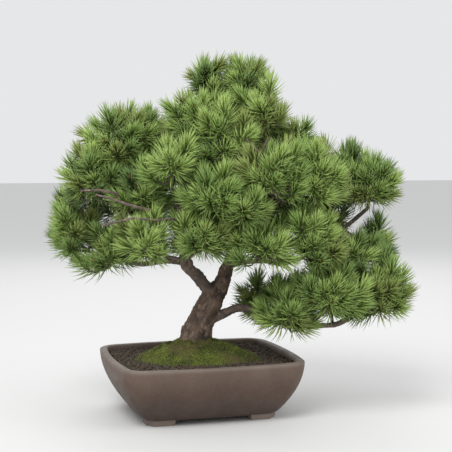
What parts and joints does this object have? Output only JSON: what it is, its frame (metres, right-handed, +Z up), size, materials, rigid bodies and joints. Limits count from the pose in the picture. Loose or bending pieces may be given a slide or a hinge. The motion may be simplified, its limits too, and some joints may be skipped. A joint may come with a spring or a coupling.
{
  "type": "mugo pine bonsai",
  "caption": "Leaning mugo pine bonsai with spreading needle pads, moss over soil, in a bowed rectangular unglazed pot on low corner feet.",
  "frame": {"origin": "centre of the plant's bounding box in plan, at the underside of the pot's feet", "axes": "+X along the pot's long side, -Y towards the pot's front, +Z up"},
  "size_m": [0.5859, 0.3714, 0.5968],
  "materials": {
    "stoneware": "matte",
    "soil": "rough",
    "moss": "rough",
    "bark": "rough",
    "needles": "satin"
  },
  "bodies": {
    "root": {"pot": "stoneware", "soil": "soil", "moss": "moss", "trunk": "bark", "bough_left_leader": "bark", "bough_left_low": "bark", "bough_left_mid": "bark", "bough_low_front": "bark", "bough_right_low": "bark", "bough_right_mid": "bark", "bough_right_up": "bark", "bough_right_top": "bark", "bough_front": "bark", "bough_right_front": "bark", "bough_right_high": "bark", "bough_upper_left": "bark", "bough_back": "bark", "bough_back_right": "bark", "bough_centre_left": "bark", "bough_back_left": "bark", "foliage_apex_left": "needles", "foliage_apex_right": "needles", "foliage_apex_back": "needles", "foliage_upper_left": "needles", "foliage_upper_front": "needles", "foliage_right_crest": "needles", "foliage_right_slope": "needles", "foliage_left_top": "needles", "foliage_left_top_back": "needles", "foliage_left_side": "needles", "foliage_front_left": "needles", "foliage_left_inner": "needles", "foliage_far_left": "needles", "foliage_left_heart": "needles", "foliage_left_under": "needles", "foliage_low_left": "needles", "foliage_low_centre": "needles", "foliage_centre_left": "needles", "foliage_centre": "needles", "foliage_centre_right": "needles", "foliage_right_front": "needles", "foliage_right_spikes": "needles", "foliage_right_upper": "needles", "foliage_mid_left": "needles", "foliage_mid_right": "needles", "foliage_right_inner": "needles", "foliage_right_small": "needles", "foliage_low_back": "needles", "foliage_low_front": "needles", "foliage_low_middle": "needles", "foliage_low_end": "needles", "foliage_low_right_back": "needles", "foliage_centre_back": "needles", "foliage_back_top": "needles", "foliage_back_left": "needles", "foliage_back_left_low": "needles", "foliage_back_low": "needles", "foliage_back_right": "needles", "foliage_back_right_low": "needles", "foliage_back_right_side": "needles"}
  },
  "joints": []
}
